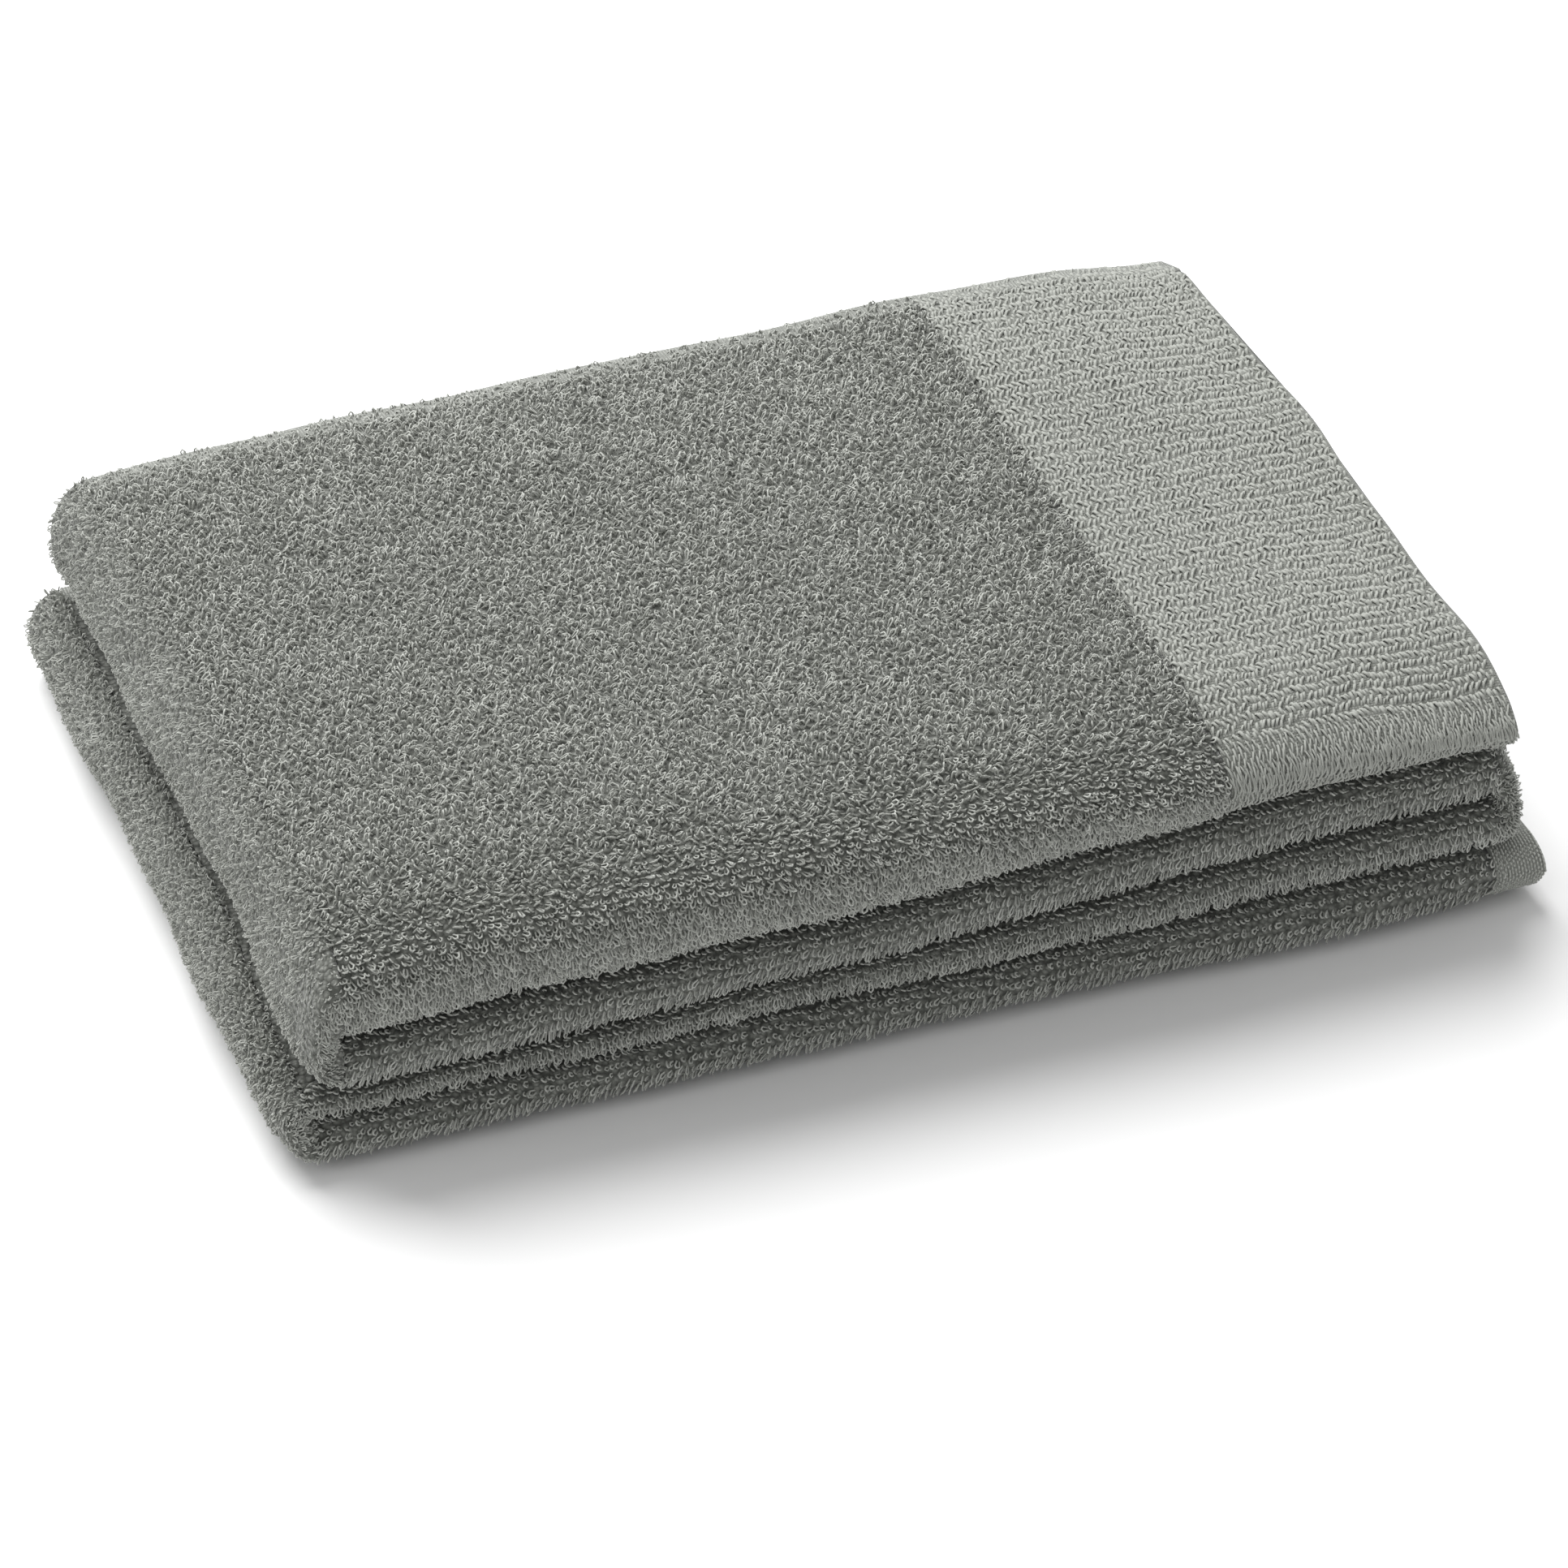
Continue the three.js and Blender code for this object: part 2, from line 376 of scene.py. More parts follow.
# Heights of the seams between panels and of the panels' middles, and then, at places along the stack,
# how far each seam lies above or below its place in the flat stack, at the front.
LAYERS = [0.0, 15.0, 30.0, 45.0, 70.0]
MIDDLES = [0.0, 7.5, 22.5, 37.5, 57.5, 70.0]
ALONG = [-175, -132, -66, -8, 43, 99, 153, 175]
LIFT_OVER_BOTTOM = [-0.8, -0.9, -0.9, -0.7, 0.2, 0.9, 3.0, 3.2]
LIFT_OVER_LOWER = [-9.0, -9.3, -9.5, -6.2, -4.0, -1.2, 2.3, 2.4]
LIFT_UNDER_TOP = [-6.0, -7.5, -7.5, -5.4, -2.4, 0.3, 3.6, 4.0]
# How far the right end stands out or in, at each of the panels' middles.
END_SHIFTS = [-1.0, 2.0, 0.5, 0.0, -3.2, -3.4]


def settle(points):
    """Moves points, in millimetres, from the flat stack to where the soft one lies."""
    x, y, z = np.array(points, float).T
    front = smooth(-40, -112, y)
    right = smooth(-40, 130, x)
    zero = np.zeros_like(x)
    lifts = [np.interp(x, ALONG, marks) for marks in (LIFT_OVER_BOTTOM, LIFT_OVER_LOWER, LIFT_UNDER_TOP)]
    lift = between(z, LAYERS, [zero, *lifts, zero])
    set_back = between(z, MIDDLES, [zero + 0.5, zero, 4.0 - 2.5 * right, 1.5 + 1.8 * right, zero - 1.0, zero])
    set_back -= 3.2 * np.exp(-((x - 112) / 34) ** 2) * smooth(15, 3, z)
    ripple = 0.55 * np.sin(x / 19 + 1.1 + z / 9) + 0.4 * np.sin(x / 8.3 + z / 6)
    edge = smooth(-60, -118, y) + smooth(60, 118, y)
    up = z / 70
    crown = 1.8 * np.cos(np.clip(x, -170, 170) / 340 * math.pi) * up
    corner = smooth(110, 172, np.abs(x))
    tired = 1 - 0.4 * smooth(-60, 90, x)
    droop = up * (tired * (3.6 * smooth(60, 124, y) + 2.8 * smooth(100, 124, y))
                  + corner * (1.2 + 1.6 * smooth(60, 120, y)))
    shoulder = 8.5 * (np.clip(-78 - y, 0, None) / 43) ** 2 * np.clip((z - 57) / 13, 0, 1)
    waves = 0.5 * np.sin(x / 27 + 0.7) * np.sin(y / 33 + 1.9) + 0.3 * np.sin(x / 12 + y / 15 + 0.4)
    new_z = z + front * lift + crown - droop - shoulder + waves * np.clip(z / 30, 0, 1)
    new_y = y + front * set_back - 3.5 * up * smooth(40, 120, y)
    new_y += ripple * edge * 0.7 * np.clip(0.4 + z / 30, 0, 1)
    ends = smooth(120, 172, np.abs(x))
    new_x = x + ends * (0.7 * np.sin(y / 21 + z / 11) + 0.4 * np.sin(y / 9 + 2 + z / 7))
    far_right = smooth(120, 172, x)
    new_x += far_right * between(z, MIDDLES, [zero + shift for shift in END_SHIFTS])
    hollow = 2.6 * np.exp(-((y - 72) / 30) ** 2)
    round_corner = 5.0 * smooth(104, 121, y) ** 2
    new_x -= far_right * (hollow + round_corner) * smooth(40, 57, z)
    return np.stack([new_x, new_y, new_z], 1)


print("top front edge settles by", settle([(0, FRONT, 60)])[0] - np.array([0, FRONT, 60]))

# %% [markdown]
# ## From paths to meshes
# A stretch of folded cloth is a skin over a row of outlines, closed at both ends. An end that is seen
# is rounded over by setting the last few outlines in, as a turned edge is. After the skin is made,
# its normals are recalculated, so every face looks outwards.

# %% Skin builder
def shelled(name, rows, material, closed=True):
    """A mesh over rows of points, each row a ring if closed, with the ends closed too."""
    rows = np.array(rows, float)
    count, size = rows.shape[:2]
    ring = np.arange(size if closed else size - 1)
    faces = [(i * size + j, i * size + (j + 1) % size, (i + 1) * size + (j + 1) % size, (i + 1) * size + j)
             for i in range(count - 1) for j in ring]
    if closed:
        faces += [tuple(range(size)), tuple(range((count - 1) * size, count * size))]
    mesh = bpy.data.meshes.new(name)
    mesh.from_pydata((settle(rows.reshape(-1, 3)) * MM).tolist(), [], faces)
    if closed:
        work = bmesh.new()
        work.from_mesh(mesh)
        bmesh.ops.recalc_face_normals(work, faces=work.faces)
        work.to_mesh(mesh)
        work.free()
    mesh.shade_smooth()
    mesh.materials.append(material)
    obj = bpy.data.objects.new(name, mesh)
    bpy.context.scene.collection.objects.link(obj)
    return obj


def height(panel, share):
    return panel["z"] + (share if panel["outer_up"] else 1 - share) * panel["thick"]


def set_in(outline, amount):
    """The outline's points [y, z] moved inwards, across the cloth's edge."""
    p = np.array(outline, float)
    along = np.roll(p, -1, 0) - np.roll(p, 1, 0)
    across = np.stack([-along[:, 1], along[:, 0]], 1)
    across /= np.maximum(np.linalg.norm(across, axis=1, keepdims=True), 1e-9)
    area = np.sum(p[:, 0] * np.roll(p[:, 1], -1) - np.roll(p[:, 0], -1) * p[:, 1])
    return p + across * amount * (1 if area > 0 else -1)


def stretch_of_cloth(name, panel, outline, x_from, x_to, material, rounding=0.0, step=4.0):
    flat = np.array([(y, height(panel, share)) for y, share in outline])
    stations = [(x, 0.0) for x in np.linspace(x_from, x_to - rounding,
                                               max(2, round((x_to - x_from) / step)))]
    if rounding:
        stations += [(x_to - rounding + rounding * math.sin(a), rounding * (1 - math.cos(a)))
                     for a in np.radians((30, 60, 85))]
    rows = [np.column_stack([np.full(len(flat), x), set_in(flat, amount) if amount else flat])
            for x, amount in stations]
    return shelled(name, rows, material)


# %% [markdown]
# ## The four panels
# Each panel is one stretch of terry, and the top one runs on into the wide dobby band, the bottom one
# into its plain end hem. The terry's ground is set in by the depth of the pile's roots, and the
# flat weaves lie a little lower than the tips of the pile, as they do on the real cloth.

# %% Panels
pieces = {}
BAND_INSET = 1.0


def section(panel, inset):
    return letter_fold(BACK - SIDE_HEM - GAP, TUCKED_EDGE + SIDE_HEM + GAP, panel["thick"], inset)


for key, panel in PANELS.items():
    pieces[key + "_cloth"] = stretch_of_cloth(
        key + "_cloth", panel, section(panel, PILE_ROOT), panel["from"], panel["terry_to"], terry_cloth)
top, bottom = PANELS["top_panel"], PANELS["bottom_panel"]
pieces["dobby_band_cloth"] = stretch_of_cloth(
    "dobby_band_cloth", top, section(top, BAND_INSET), top["terry_to"] + GAP, top["to"], band_ground,
    rounding=1.8)
pieces["end_hem_cloth"] = stretch_of_cloth(
    "end_hem_cloth", bottom, section(bottom, BAND_INSET), bottom["terry_to"] + GAP, bottom["to"], hem_cloth,
    rounding=1.4, step=2.0)
print("panel faces:", {name: len(o.data.polygons) for name, o in pieces.items()})

# %% [markdown]
# ## The three turns
# At each end the whole three-ply strip turns back on itself. The same outline is carried half a turn
# round the crease. At the left the outer ply is on the outside of the turn, at the right it is on
# the inside.

# %% Turns
TURNS = {
    "lower_left_fold": ("bottom_panel", "lower_middle_panel", -1, True),
    "right_fold": ("lower_middle_panel", "upper_middle_panel", 1, False),
    "upper_left_fold": ("upper_middle_panel", "top_panel", -1, True),
}


def crease_of(name):
    lower, upper, side, _ = TURNS[name]
    low, high = span(name)
    return (high[0] if side < 0 else low[0]), PANELS[upper]["z"] - GAP / 2


def carried_round(name, path, angle, inset=0.0):
    """The path's points, carried round the crease to an angle; -90 degrees is the lower panel."""
    lower, upper, side, outer_outside = TURNS[name]
    low, high = span(name)
    x0, z0 = crease_of(name)
    reach = (high[0] - low[0]) - GAP / 2
    t = smooth(-0.6, 0.6, math.sin(angle))
    thick = PANELS[lower]["thick"] * (1 - t) + PANELS[upper]["thick"] * t
    rows = []
    for y, share in path:
        outside = share if outer_outside else 1 - share
        less = inset * smooth(0.5, 1.0, outside)
        rows.append((x0 + side * (GAP / 2 + outside * reach - less) * math.cos(angle), y,
                     z0 + (GAP / 2 + outside * thick - less) * math.sin(angle)))
    return rows


def turned_cloth(name, steps=24):
    lower = PANELS[TURNS[name][0]]
    outline = letter_fold(BACK - 0.5, TUCKED_EDGE, lower["thick"], 0.0)
    outline = [(max(y, FRONT + PILE_ROOT), share) for y, share in outline]
    angles = np.linspace(-math.pi / 2, math.pi / 2, steps + 1)
    return shelled(name + "_cloth", [carried_round(name, outline, a, PILE_ROOT) for a in angles], terry_cloth)


for name in TURNS:
    pieces[name + "_cloth"] = turned_cloth(name)
    print(name, "crease at", crease_of(name))

# %% [markdown]
# ## Side hems
# Both long edges of the towel are turned over twice and stitched. One lies along the back of the
# outer ply, and the other is tucked inside, against the front roll. They are narrow strips with
# rounded edges, a little thinner than the terry.

# %% Side hems
def side_hem(name, panel, tucked):
    share = (PLY_SHARE + AIR_SHARE + PLY_SHARE / 2) if tucked else 1 - PLY_SHARE / 2
    y0 = TUCKED_EDGE if tucked else BACK - SIDE_HEM
    half = panel["thick"] * PLY_SHARE / 2 * 0.82
    middle = height(panel, share)
    corner = min(half, 1.6)
    ring = []
    for cy, cz, first in ((y0 + SIDE_HEM - corner, half - corner, 0), (y0 + corner, half - corner, 90),
                          (y0 + corner, corner - half, 180), (y0 + SIDE_HEM - corner, corner - half, 270)):
        ring += [(cy + corner * math.cos(a), middle + cz + corner * math.sin(a))
                 for a in [math.radians(first + more) for more in (0, 30, 60, 90)]]
    xs = np.linspace(panel["from"], panel["to"] - 0.4, round((panel["to"] - panel["from"]) / 4))
    return shelled(name, [[(x, y, z) for y, z in ring] for x in xs], hem_cloth)


for key, panel in PANELS.items():
    pieces[key + "_side_hem_cloth"] = side_hem(key + "_side_hem_cloth", panel, False)
    pieces[key + "_tucked_hem_cloth"] = side_hem(key + "_tucked_hem_cloth", panel, True)
print("hems:", sum("hem" in name for name in pieces))

# %% [markdown]
# ## The pile's bed
# Terry loops stand in rows, here 1.6 mm apart, and a little wider on the lower rolls, where they lie
# down. A bed is a grid of points with that spacing over the cloth that shows. Each point knows the way
# the cloth runs there, and how wild its loop is: tumbled on the flat top, combed over the rolls.

# %% Beds
LOOSE, COMBED_FLAT = 0.34, 0.14
ROLL_SPACING = (1.6, 2.2)


def evenly(path, spacing, scale):
    """The path's points at an even spacing, in millimetres; scale is the thickness of a share of 1."""
    p = np.array(path, float)
    length = np.concatenate([[0], np.cumsum(np.hypot(np.diff(p[:, 0]), np.diff(p[:, 1]) * scale))])
    marks = np.linspace(0, length[-1], max(2, round(length[-1] / spacing)) + 1)
    return np.column_stack([np.interp(marks, length, p[:, 0]), np.interp(marks, length, p[:, 1])])


def bed(name, rows, wild):
    obj = shelled(name, rows, terry_cloth, closed=False)
    mesh = obj.data
    count, size = np.array(rows).shape[:2]
    co = np.zeros(len(mesh.vertices) * 3)
    mesh.vertices.foreach_get("co", co)
    grid = co.reshape(count, size, 3)
    way = np.gradient(grid, axis=1)
    way /= np.maximum(np.linalg.norm(way, axis=2, keepdims=True), 1e-9)
    for label, kind, values in (("way", "FLOAT_VECTOR", way.reshape(-1)),
                                ("wild", "FLOAT", np.array(wild).reshape(-1))):
        field = mesh.attributes.new(label, kind, "POINT")
        field.data.foreach_set("vector" if kind == "FLOAT_VECTOR" else "value", values.astype(np.float32))
    return obj


def wildness(path, least):
    """Tumbled on the flat, combed into line over the front roll."""
    y = np.array(path)[:, 0]
    return least + (1 - least) * smooth(FRONT + 1, FRONT + 40, y)


def outwards(obj, centre_z, centre_x=None):
    """Turns a bed over if its faces look towards the middle of the cloth, or towards a turn's crease."""
    mesh = obj.data
    mesh.update()
    total = 0.0
    for face in mesh.polygons:
        away = face.normal.z * (face.center.z - centre_z) + face.normal.y * face.center.y
        if centre_x is not None:
            away += face.normal.x * (face.center.x - centre_x)
        total += away * face.area
    if total < 0:
        mesh.flip_normals()
    return obj


def panel_bed(name, panel, path, x_from, x_to, across=LOOP_SPACING, along=LOOP_SPACING):
    path = evenly(path, along, panel["thick"])
    count = round((x_to - x_from) / across)
    rows = []
    for i in range(count + 1):
        x = x_from + (x_to - x_from) * i / count
        rows.append([(x, y, height(panel, share)) for y, share in path])
    rows = np.array(rows)
    rows[:, 1::2, 0] += across / 2
    rows[:, :, 0] = np.clip(rows[:, :, 0], x_from, x_to)
    wild = np.tile(wildness(path, LOOSE if panel is top else COMBED_FLAT), (count + 1, 1))
    middle = (panel["z"] + panel["thick"] / 2) * MM
    return outwards(bed(name, rows, wild), middle)


def turn_bed(name, label, path, spacing=LOOP_SPACING):
    low, high = span(name)
    path = evenly(path, spacing, (high[2] - low[2]) / 2)
    arc = math.pi * ((high[0] - low[0]) + (high[2] - low[2]) / 2) / 2
    angles = np.linspace(-math.pi / 2, math.pi / 2, round(arc / spacing) + 1)
    rows = np.array([carried_round(name, path, a, PILE_ROOT) for a in angles])
    wild = np.tile(wildness(path, LOOSE) * 0.8, (len(angles), 1))
    x0, z0 = crease_of(name)
    return outwards(bed(label, rows, wild), z0 * MM, x0 * MM)


beds = {}
for key, panel in PANELS.items():
    t, x_from, x_to = panel["thick"], panel["from"], panel["terry_to"]
    if panel is not top:
        label = key + "_front_pile"
        roll = front_roll(24, PILE_ROOT, t)
        beds[label] = (panel_bed(label, panel, roll, x_from, x_to, *ROLL_SPACING), key)
    label = key + "_back_pile"
    beds[label] = (panel_bed(label, panel, back_fold(16, PILE_ROOT, t), x_from, x_to), key)
level = 1 - PILE_ROOT / top["thick"]
edge_over = half_round(BACK - 4.0, level - 0.17, 3.6, 0.17, 0.0, math.pi / 2, 6)
face = edge_over + front_roll(24, PILE_ROOT, top["thick"])
TOP_PARTS = ("left", "middle_left", "middle_right", "right")
part_width = (top["terry_to"] - top["from"]) / len(TOP_PARTS)
for number, part in enumerate(TOP_PARTS):
    start = top["from"] + part_width * number + (LOOP_SPACING / 2 if number else 0)
    end = top["from"] + part_width * (number + 1) - LOOP_SPACING / 2
    beds["top_pile_" + part] = (panel_bed("top_pile_" + part, top, face, start, end), "top_panel")
for name, (_, _, _, outer) in TURNS.items():
    roll = front_roll(24, PILE_ROOT)
    if outer:
        path = run((BACK - 1.0, 1.0), (FRONT + ROLL_REACH, 1.0), 3) + roll[:-1]
    else:
        path = roll[1:] + run((FRONT + ROLL_REACH, 0.0), (BACK - BACK_REACH, 0.0), 3)
    beds[name + "_pile"] = (turn_bed(name, name + "_pile", path), name)
    beds[name + "_back_pile"] = (turn_bed(name, name + "_back_pile", back_fold(12, PILE_ROOT)), name)
print("loops to grow:", sum(len(o.data.vertices) for o, _ in beds.values()))

# %% [markdown]
# ## Growing the pile
# One loop is a short, slightly twisted arch of yarn, open in the middle, with three sides and four
# segments, which is all that shows at this size. Geometry Nodes stand one on every point of the bed,
# along the cloth's normal, and lay it down towards the way the cloth runs. Then they turn, lean and
# size each one by chance, from a fixed seed. A third of them get each of the three shades.

# %% The pile tree
YARN_SIDES = 3
NAP_SCALE = 120.0
NAP_TURN, NAP_LEAN = 3.2, 0.45
LYING, STANDING = -0.85, 0.5


def pile_tree():
    tree = bpy.data.node_groups.new("terry_pile", "GeometryNodeTree")
    face = tree.interface
    face.new_socket("Bed", in_out="INPUT", socket_type="NodeSocketGeometry")
    for label, value in (("Loop Height", 0.0026), ("Yarn Share", 0.098), ("Comb", 0.0), ("Jitter", 0.0004)):
        face.new_socket(label, in_out="INPUT", socket_type="NodeSocketFloat").default_value = value
    face.new_socket("Seed", in_out="INPUT", socket_type="NodeSocketInt").default_value = 7
    for shade in DYE:
        face.new_socket("Yarn " + shade, in_out="INPUT", socket_type="NodeSocketMaterial")
    face.new_socket("Pile", in_out="OUTPUT", socket_type="NodeSocketGeometry")
    given = put(tree, "NodeGroupInput")

    arch = put(tree, "GeometryNodeCurvePrimitiveBezierSegment",
               {"Resolution": 4, "Start": (-0.1, 0.0, -0.2), "Start Handle": (-0.6, 0.12, 0.9),
                "End Handle": (0.6, -0.12, 1.15), "End": (0.1, 0.0, -0.2)})
    yarn = put(tree, "GeometryNodeCurvePrimitiveCircle",
               {"Resolution": YARN_SIDES, "Radius": out(given, "Yarn Share")})
    loop = put(tree, "GeometryNodeCurveToMesh",
               {"Curve": out(arch), "Profile Curve": out(yarn), "Fill Caps": True})

    chance = {}
    ranges = (("nudge", (-1.0, -1.0, -1.0), (1.0, 1.0, 1.0)), ("spin", -1.0, 1.0), ("across", -1.0, 1.0),
              ("along", -1.0, 1.0), ("size", 0.8, 1.2), ("shade", 0.0, 3.0))
    for number, (label, low, high) in enumerate(ranges):
        seed = put(tree, "ShaderNodeMath", {0: out(given, "Seed"), 1: float(number)}, operation="ADD")
        chance[label] = out(put(tree, "FunctionNodeRandomValue", {"Min": low, "Max": high, "Seed": out(seed)},
                                data_type="FLOAT_VECTOR" if label == "nudge" else "FLOAT"))
    wild = out(put(tree, "GeometryNodeInputNamedAttribute", {"Name": "wild"}, data_type="FLOAT"))
    way = out(put(tree, "GeometryNodeInputNamedAttribute", {"Name": "way"}, data_type="FLOAT_VECTOR"))
    shift = put(tree, "ShaderNodeVectorMath", {0: chance["nudge"], "Scale": out(given, "Jitter")},
                operation="SCALE")
    moved = put(tree, "GeometryNodeSetPosition", {"Geometry": out(given, "Bed"), "Offset": out(shift)})

    # A slow noise makes patches of pile lie over together, as after a wash.
    nap = put(tree, "ShaderNodeTexNoise", {"Scale": NAP_SCALE, "Detail": 1.0})
    patch = put(tree, "ShaderNodeMath", {0: out(nap, "Fac"), 1: NAP_TURN, 2: -NAP_TURN / 2},
                operation="MULTIPLY_ADD")
    drift = put(tree, "ShaderNodeMath", {0: wild, 1: out(patch), 2: out(given, "Comb")},
                operation="MULTIPLY_ADD")
    tilt = put(tree, "ShaderNodeMath", {0: out(patch), 1: NAP_LEAN}, operation="MULTIPLY")
    lie_down = put(tree, "ShaderNodeMath", {0: wild, 1: STANDING, 2: LYING}, operation="MULTIPLY_ADD")
    turned = {}
    for label, by_wild, always, about in (("spin", 2.2, 0.2, out(drift)), ("across", 0.6, 0.1, out(tilt)),
                                          ("along", 0.6, 0.12, out(lie_down))):
        most = put(tree, "ShaderNodeMath", {0: wild, 1: by_wild, 2: always}, operation="MULTIPLY_ADD")
        turned[label] = out(put(tree, "ShaderNodeMath", {0: out(most), 1: chance[label], 2: about},
                                operation="MULTIPLY_ADD"))

    stood = put(tree, "FunctionNodeAlignRotationToVector",
                {"Vector": out(put(tree, "GeometryNodeInputNormal"))}, axis="Z")
    leant = put(tree, "FunctionNodeAlignRotationToVector", {"Rotation": out(stood), "Vector": way},
                axis="Y", pivot_axis="Z")
    for turns in ({"Z": turned["spin"]}, {"X": turned["along"], "Y": turned["across"]}):
        angles = put(tree, "ShaderNodeCombineXYZ", turns)
        by = put(tree, "FunctionNodeEulerToRotation", {"Euler": out(angles)})
        leant = put(tree, "FunctionNodeRotateRotation", {"Rotation": out(leant), "Rotate By": out(by)},
                    rotation_space="LOCAL")
    longer = put(tree, "ShaderNodeMath", {0: wild, 1: -0.08, 2: 1.08}, operation="MULTIPLY_ADD")
    tall = put(tree, "ShaderNodeMath", {0: out(given, "Loop Height"), 1: out(longer)}, operation="MULTIPLY")
    size = out(put(tree, "ShaderNodeMath", {0: out(tall), 1: chance["size"]}, operation="MULTIPLY"))
    grown = put(tree, "GeometryNodeInstanceOnPoints",
                {"Points": out(moved), "Instance": out(loop), "Rotation": out(leant), "Scale": size})
    shade = put(tree, "GeometryNodeStoreNamedAttribute",
                {"Geometry": out(grown), "Name": "shade", "Value": chance["shade"]},
                data_type="FLOAT", domain="INSTANCE")
    real = put(tree, "GeometryNodeRealizeInstances", {"Geometry": out(shade)})
    dyed = put(tree, "GeometryNodeSetShadeSmooth", {"Geometry": out(real)})
    tone = out(put(tree, "GeometryNodeInputNamedAttribute", {"Name": "shade"}, data_type="FLOAT"))
    for number, shade_name in enumerate(DYE):
        picked = put(tree, "ShaderNodeMath", {0: tone, 1: float(number) if number else -1.0},
                     operation="GREATER_THAN")
        yarn = out(given, "Yarn " + shade_name)
        dyed = put(tree, "GeometryNodeSetMaterial",
                   {"Geometry": out(dyed), "Selection": out(picked), "Material": yarn})
    done = put(tree, "GeometryNodeRemoveAttribute", {"Geometry": out(dyed), "Name": "shade"})
    put(tree, "NodeGroupOutput", {"Pile": out(done)})
    return tree


def made_real(obj, tree, values):
    """Runs a node tree on an object with named inputs, and keeps the result as a plain mesh."""
    modifier = obj.modifiers.new("grow", "NODES")
    modifier.node_group = tree
    for item in tree.interface.items_tree:
        if item.in_out == "INPUT" and item.name in values:
            modifier[item.identifier] = values[item.name]
    graph = bpy.context.evaluated_depsgraph_get()
    mesh = bpy.data.meshes.new_from_object(obj.evaluated_get(graph))
    obj.modifiers.remove(modifier)
    obj.data = mesh
    mesh.name = obj.name
    return obj


terry_pile = pile_tree()
yarns = {"Yarn " + shade: material for shade, material in pile_yarn.items()}
# Loops are shorter over the turns, where they are stretched. The rolls are combed by an angle each.
PANEL_LOOP, TURN_LOOP = 0.0026, 0.002
COMBED = {"bottom_panel_front_pile": 2.0, "lower_middle_panel_front_pile": -0.4,
          "upper_middle_panel_front_pile": 2.3}
for number, (name, (obj, owner)) in enumerate(beds.items()):
    made_real(obj, terry_pile, {"Seed": 100 * number, "Comb": COMBED.get(name, 0.0),
                                "Loop Height": TURN_LOOP if owner in TURNS else PANEL_LOOP, **yarns})
    print(name, len(obj.data.polygons), "faces")

# %% [markdown]
# ## The dobby band and the hem's threads
# The band is woven flat, in short raised floats of a smoother yarn. On top they slant one way in one
# course and the other way in the next, and after two courses comes a small gap, so the top looks like
# rows of rice. Round the front roll they stretch into fine upright ribs. The end hem is plain weave:
# the same tree with much shorter floats. A twin row of stitches holds it down.

# %% The tree of floats
TOP_FLOATS = {"row": 1.08, "pitch": 2.6, "gap": 0.85, "brick": 0.3}
ROLL_FLOATS = {"row": 0.9, "pitch": 3.1, "gap": 0.0, "brick": 0.5}
HEM_FLOATS = {"row": HEM_THREAD_SPACING, "pitch": 1.1, "gap": 0.0, "brick": 0.5}
STITCHES = {"row": 1.4, "pitch": 3.0, "gap": 0.0, "brick": 0.0}


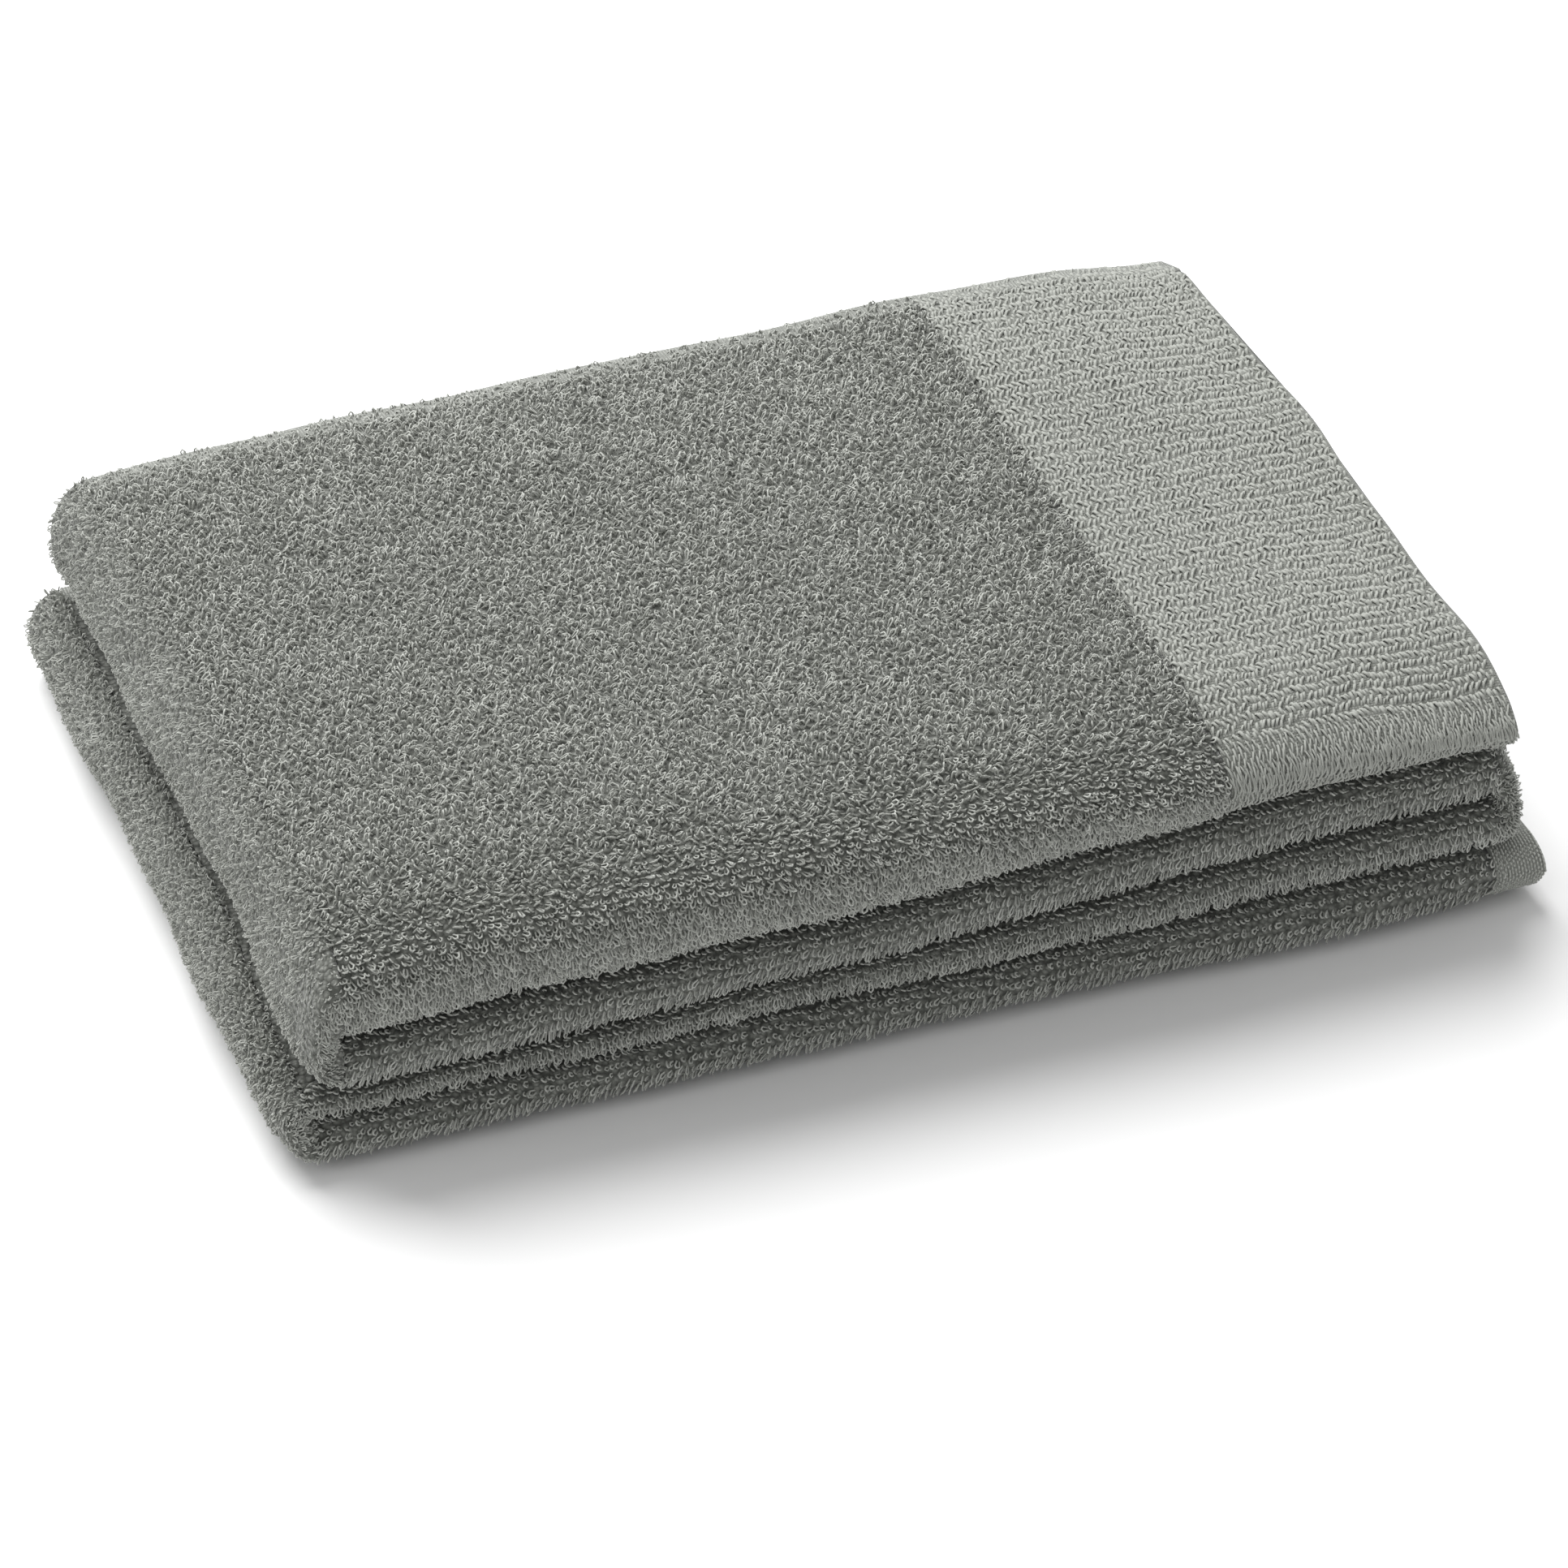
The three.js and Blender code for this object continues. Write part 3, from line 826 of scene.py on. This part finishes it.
def float_tree():
    tree = bpy.data.node_groups.new("woven_floats", "GeometryNodeTree")
    face = tree.interface
    face.new_socket("Rows", in_out="INPUT", socket_type="NodeSocketGeometry")
    for label, value in (("Float Length", 0.003), ("Yarn Radius", 0.0004), ("Bow", 0.0007), ("Slant", 0.3),
                         ("Looseness", 0.2), ("Jitter", 0.0003)):
        face.new_socket(label, in_out="INPUT", socket_type="NodeSocketFloat").default_value = value
    face.new_socket("Seed", in_out="INPUT", socket_type="NodeSocketInt").default_value = 3
    face.new_socket("Yarn", in_out="INPUT", socket_type="NodeSocketMaterial")
    face.new_socket("Floats", in_out="OUTPUT", socket_type="NodeSocketGeometry")
    given = put(tree, "NodeGroupInput")
    points = {}
    for label, share, depth in (("Start", -0.5, -0.8), ("Start Handle", -0.4, 1.0),
                                ("End Handle", 0.4, 1.0), ("End", 0.5, -0.8)):
        along = put(tree, "ShaderNodeMath", {0: out(given, "Float Length"), 1: share}, operation="MULTIPLY")
        up = put(tree, "ShaderNodeMath", {0: out(given, "Bow"), 1: depth}, operation="MULTIPLY")
        points[label] = out(put(tree, "ShaderNodeCombineXYZ", {"Y": out(along), "Z": out(up)}))
    arch = put(tree, "GeometryNodeCurvePrimitiveBezierSegment", {"Resolution": 3, **points})
    yarn = put(tree, "GeometryNodeCurvePrimitiveCircle",
               {"Resolution": YARN_SIDES, "Radius": out(given, "Yarn Radius")})
    grain = put(tree, "GeometryNodeCurveToMesh",
                {"Curve": out(arch), "Profile Curve": out(yarn), "Fill Caps": True})
    chance = {}
    ranges = (("turn", -1.0, 1.0), ("size", 0.8, 1.15), ("nudge", (-1.0, -1.0, -0.6), (1.0, 1.0, 0.6)))
    for number, (label, low, high) in enumerate(ranges):
        seed = put(tree, "ShaderNodeMath", {0: out(given, "Seed"), 1: float(number)}, operation="ADD")
        chance[label] = out(put(tree, "FunctionNodeRandomValue", {"Min": low, "Max": high, "Seed": out(seed)},
                                data_type="FLOAT_VECTOR" if label == "nudge" else "FLOAT"))
    shift = put(tree, "ShaderNodeVectorMath", {0: chance["nudge"], "Scale": out(given, "Jitter")},
                operation="SCALE")
    moved = put(tree, "GeometryNodeSetPosition", {"Geometry": out(given, "Rows"), "Offset": out(shift)})
    way = out(put(tree, "GeometryNodeInputNamedAttribute", {"Name": "way"}, data_type="FLOAT_VECTOR"))
    side = out(put(tree, "GeometryNodeInputNamedAttribute", {"Name": "wild"}, data_type="FLOAT"))
    stood = put(tree, "FunctionNodeAlignRotationToVector",
                {"Vector": out(put(tree, "GeometryNodeInputNormal"))}, axis="Z")
    combed = put(tree, "FunctionNodeAlignRotationToVector", {"Rotation": out(stood), "Vector": way},
                 axis="Y", pivot_axis="Z")
    loose = put(tree, "ShaderNodeMath", {0: chance["turn"], 1: out(given, "Looseness")}, operation="MULTIPLY")
    slant = put(tree, "ShaderNodeMath", {0: side, 1: out(given, "Slant"), 2: out(loose)},
                operation="MULTIPLY_ADD")
    angles = put(tree, "ShaderNodeCombineXYZ", {"Z": out(slant)})
    by = put(tree, "FunctionNodeEulerToRotation", {"Euler": out(angles)})
    laid = put(tree, "FunctionNodeRotateRotation", {"Rotation": out(combed), "Rotate By": out(by)},
               rotation_space="LOCAL")
    sown = put(tree, "GeometryNodeInstanceOnPoints",
               {"Points": out(moved), "Instance": out(grain), "Rotation": out(laid), "Scale": chance["size"]})
    real = put(tree, "GeometryNodeRealizeInstances", {"Geometry": out(sown)})
    smoothed = put(tree, "GeometryNodeSetShadeSmooth", {"Geometry": out(real)})
    dyed = put(tree, "GeometryNodeSetMaterial", {"Geometry": out(smoothed), "Material": out(given, "Yarn")})
    put(tree, "NodeGroupOutput", {"Floats": out(dyed)})
    return tree


woven_floats = float_tree()
print("float tree nodes:", len(woven_floats.nodes))

# %% [markdown]
# A set of rows is a bed like the pile's, with its floats in courses across the band. On top of the
# band the courses come in pairs and wander a little, because the loom's beat is never even. Round the
# roll and on the hem every second row is shifted by half a float, so they lie like bricks.

# %% Band floats, hem threads and stitches
def float_rows(name, panel, path, x_from, x_to, row, pitch, gap, brick):
    chance = np.random.default_rng(5)
    p = evenly(path, 0.5, panel["thick"])
    length = np.concatenate([[0], np.cumsum(np.hypot(np.diff(p[:, 0]), np.diff(p[:, 1]) * panel["thick"]))])
    courses = np.arange(pitch / 2, length[-1] - pitch / 2, pitch)
    number = np.arange(len(courses))
    courses += gap * (number // 2) + 0.2 * gap * chance.uniform(-1, 1, len(courses))
    courses = courses[courses < length[-1]]
    rows = []
    for i, x in enumerate(np.arange(x_from, x_to, row)):
        wander = 0.6 * math.sin(x / 7.4) + 0.3 * math.sin(x / 2.7 + 1) + 0.35 * chance.uniform(-1, 1)
        marks = courses + (wander if gap else 0) + (pitch * brick if i % 2 else 0)
        rows.append([(x, y, height(panel, share)) for y, share in zip(np.interp(marks, length, p[:, 0]),
                                                                    np.interp(marks, length, p[:, 1]))])
    slant = np.tile(np.where(number[:len(courses)] % 2, -1.0, 1.0), (len(rows), 1))
    return outwards(bed(name, rows, slant), (panel["z"] + panel["thick"] / 2) * MM)


band_level = 1 - BAND_INSET / top["thick"]
band_roll = front_roll(24, BAND_INSET, top["thick"])
over_band = half_round(BACK - 3.0, band_level - 0.12, 3.2, 0.12, 0.0, math.pi / 2, 6) + [band_roll[0]]
band_from, band_to = top["terry_to"] + 1.0, top["to"] - 1.2
band_top = float_rows("dobby_band_top_floats", top, over_band, band_from, band_to, **TOP_FLOATS)
band_front = float_rows("dobby_band_front_floats", top, band_roll, band_from, band_to, **ROLL_FLOATS)
band_floats = [
    made_real(band_top, woven_floats, {
        "Float Length": 0.0028, "Yarn Radius": 0.0005, "Slant": 0.36, "Looseness": 0.28, "Jitter": 0.00035,
        "Yarn": band_yarn}),
    made_real(band_front, woven_floats, {
        "Float Length": 0.0042, "Yarn Radius": 0.00034, "Slant": 0.16, "Looseness": 0.2, "Yarn": band_yarn}),
]
over_hem = front_roll(24, BAND_INSET, bottom["thick"])
hem_from, hem_to = bottom["terry_to"] + 0.8, bottom["to"] - 0.6
hem_rows = float_rows("end_hem_threads", bottom, over_hem, hem_from, hem_to, **HEM_FLOATS)
hem_threads = made_real(hem_rows, woven_floats, {
    "Float Length": 0.0008, "Yarn Radius": 0.0003, "Bow": 0.0005, "Slant": 0.0, "Jitter": 0.00008,
    "Yarn": hem_thread})
stitch_from = bottom["terry_to"] + 2.0
stitch_rows = float_rows("end_hem_stitches", bottom, over_hem, stitch_from, stitch_from + 1.5, **STITCHES)
stitches = made_real(stitch_rows, woven_floats, {
    "Float Length": 0.0026, "Yarn Radius": 0.00026, "Bow": 0.0011, "Slant": 0.0, "Looseness": 0.04,
    "Jitter": 0.00005, "Yarn": hem_thread})
print("floats, threads and stitches:", [len(o.data.polygons) for o in (*band_floats, hem_threads, stitches)])

# %% [markdown]
# ## Joining the frame
# Each panel's cloth, hems and pile ride on the panel's body. The turns' cloth and pile are fixed
# where they were made, and the frame's solids under all of them are hidden.

# %% Ride on the bodies and hide the frame
pile_of = {}
for name, (obj, owner) in beds.items():
    pile_of.setdefault(owner, []).append(obj)
for key, panel in PANELS.items():
    cloth = pieces[key + "_cloth"]
    hems = [pieces[key + "_side_hem_cloth"], pieces[key + "_tucked_hem_cloth"]]
    for obj in [cloth, *hems, *pile_of[key]]:
        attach(obj, key)
    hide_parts(key + "_terry")
    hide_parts(key + "_side_hem")
    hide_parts(key + "_tucked_side_hem")
for obj, key, slot, node in ((pieces["dobby_band_cloth"], "top_panel", "dobby_band", "top_panel_dobby_band"),
                             *[(floats, "top_panel", "dobby_band", None) for floats in band_floats],
                             (hem_threads, "bottom_panel", "plain_hem", None),
                             (stitches, "bottom_panel", "plain_hem", None),
                             (pieces["end_hem_cloth"], "bottom_panel", "plain_hem", "bottom_panel_end_hem")):
    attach(obj, key)
    if node:
        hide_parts(node)
for name, (lower, upper, _, _) in TURNS.items():
    for obj in [pieces[name + "_cloth"], *pile_of[name]]:
        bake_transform(obj)
    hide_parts(name)
for key, panel in PANELS.items():
    hems = [pieces[key + "_side_hem_cloth"], pieces[key + "_tucked_hem_cloth"]]
